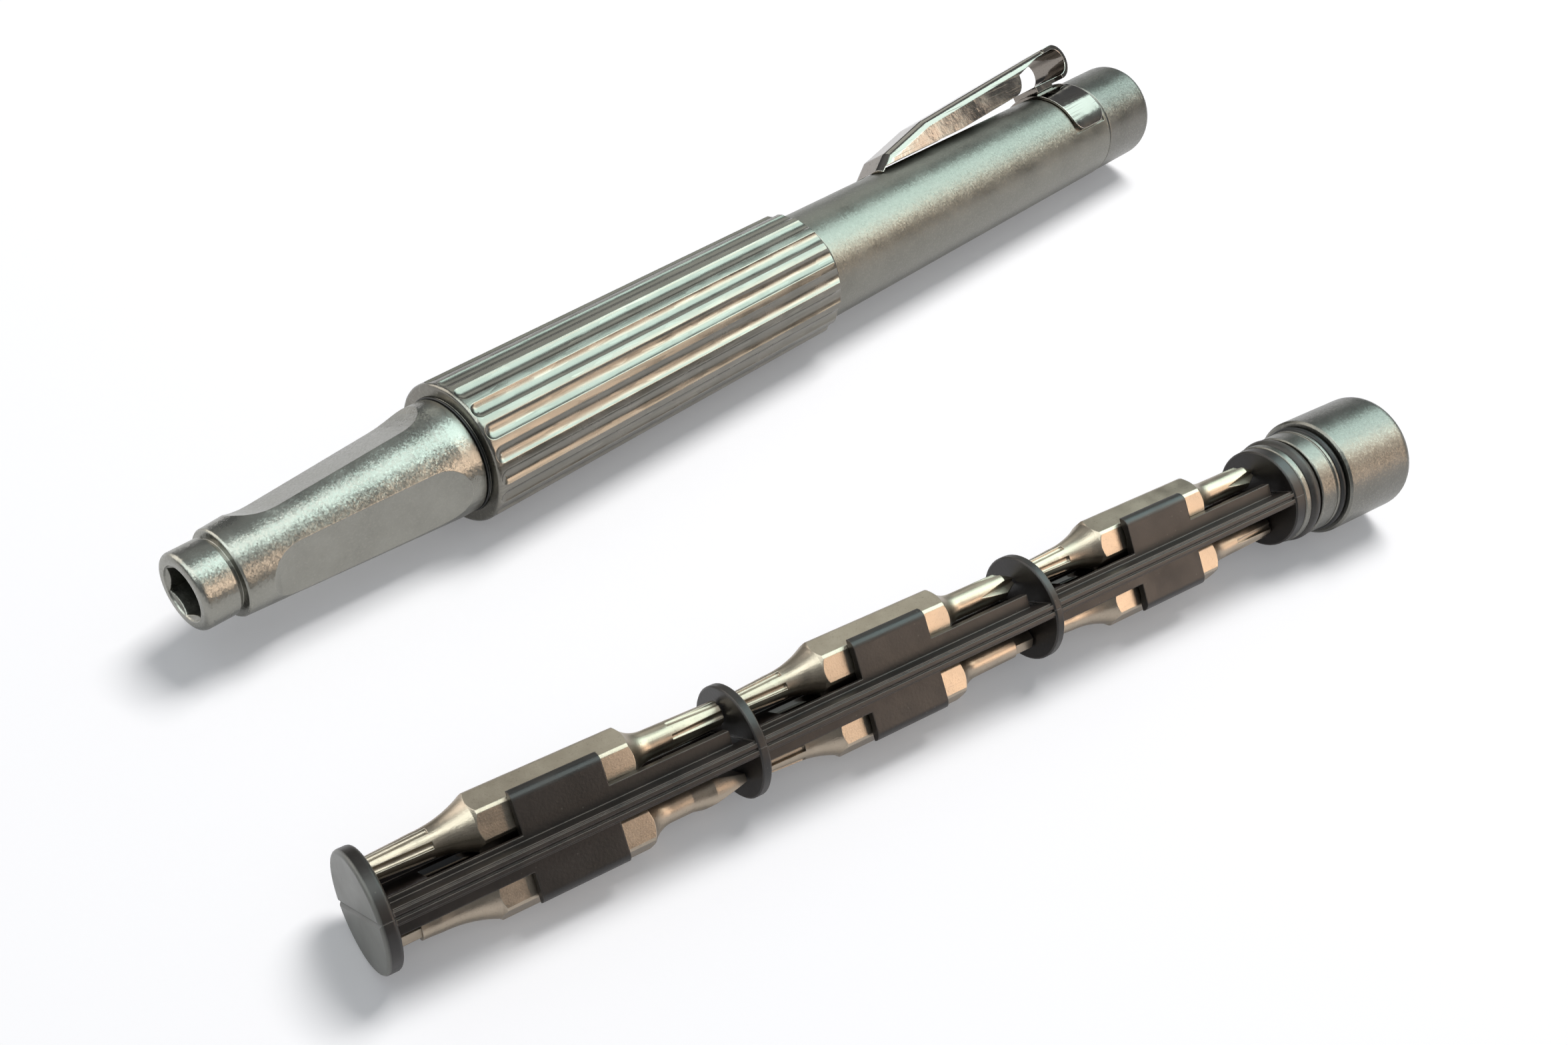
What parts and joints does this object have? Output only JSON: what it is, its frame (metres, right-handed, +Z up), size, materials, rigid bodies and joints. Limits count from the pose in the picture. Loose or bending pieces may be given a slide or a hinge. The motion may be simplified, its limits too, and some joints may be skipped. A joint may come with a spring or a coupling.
{
  "type": "pocket screwdriver",
  "caption": "Pen-shaped pocket screwdriver with a fluted metal grip, a sprung clip and a draw-out cartridge of double-ended bits, one cartridge stored and one lying in front",
  "frame": {"origin": "on the driver's long axis at the mouth of its bit socket", "axes": "+X along the driver from the socket to the tail cap, +Z up from the table it lies on, -Y toward the loose cartridge"},
  "size_m": [0.1375, 0.0674, 0.0153],
  "materials": {
    "driver_metal": "bead-blasted satin, greenish grey",
    "bright_clip": "polished stamping",
    "bit_steel": "satin tool steel",
    "black_plastic": "moulded, satin outside and glossy in the troughs",
    "black_rubber": "soft satin",
    "brown_rubber": "soft satin",
    "magnet": "nickel plated"
  },
  "bodies": {
    "driver": {"nose_piece": "driver_metal", "bit_magnet": "magnet", "nose_seal": "black_rubber", "barrel": "driver_metal", "grip_sleeve": "driver_metal", "clip_band": "bright_clip"},
    "clip_spring_arm": {"clip_arm": "bright_clip"},
    "stored_cartridge": {"stored_cap": "driver_metal", "stored_ring_front": "brown_rubber", "stored_ring_rear": "black_rubber", "stored_carrier_top": "black_plastic", "stored_carrier_bottom": "black_plastic", "stored_bit_1": "bit_steel", "stored_bit_2": "bit_steel", "stored_bit_3": "bit_steel", "stored_bit_4": "bit_steel", "stored_bit_5": "bit_steel", "stored_bit_6": "bit_steel"},
    "loose_cartridge": {"loose_cap": "driver_metal", "loose_ring_front": "brown_rubber", "loose_ring_rear": "black_rubber", "loose_carrier_top": "black_plastic", "loose_carrier_bottom": "black_plastic"},
    "loose_bit_body_1": {"loose_bit_1": "bit_steel"},
    "loose_bit_body_2": {"loose_bit_2": "bit_steel"},
    "loose_bit_body_3": {"loose_bit_3": "bit_steel"},
    "loose_bit_body_4": {"loose_bit_4": "bit_steel"},
    "loose_bit_body_5": {"loose_bit_5": "bit_steel"},
    "loose_bit_body_6": {"loose_bit_6": "bit_steel"}
  },
  "joints": [
    {"name": "clip_flex", "type": "hinge", "parent": "driver", "child": "clip_spring_arm", "pos_m": [0.11968, 0.00436, 0.00436], "axis": [0, 0.7071, -0.7071], "range_deg": [0, 5], "stiffness_Nm_per_rad": 0.5},
    {"name": "cartridge_draw", "type": "slide", "parent": "driver", "child": "stored_cartridge", "axis": [1, 0, 0], "range_m": [0, 0.1]},
    {"name": "loose_lift", "type": "slide", "parent": "driver", "child": "loose_cartridge", "axis": [0, 0, 1], "range_m": [0, 0.06]},
    {"name": "loose_bit_1_out", "type": "slide", "parent": "loose_cartridge", "child": "loose_bit_body_1", "axis": [0.1302, 0.6157, 0.7771], "range_m": [0, 0.008]},
    {"name": "loose_bit_2_out", "type": "slide", "parent": "loose_cartridge", "child": "loose_bit_body_2", "axis": [0.1302, 0.6157, 0.7771], "range_m": [0, 0.008]},
    {"name": "loose_bit_3_out", "type": "slide", "parent": "loose_cartridge", "child": "loose_bit_body_3", "axis": [0.1302, 0.6157, 0.7771], "range_m": [0, 0.008]},
    {"name": "loose_bit_4_out", "type": "slide", "parent": "loose_cartridge", "child": "loose_bit_body_4", "axis": [-0.1302, -0.6157, -0.7771], "range_m": [0, 0.008]},
    {"name": "loose_bit_5_out", "type": "slide", "parent": "loose_cartridge", "child": "loose_bit_body_5", "axis": [-0.1302, -0.6157, -0.7771], "range_m": [0, 0.008]},
    {"name": "loose_bit_6_out", "type": "slide", "parent": "loose_cartridge", "child": "loose_bit_body_6", "axis": [-0.1302, -0.6157, -0.7771], "range_m": [0, 0.008]}
  ]
}
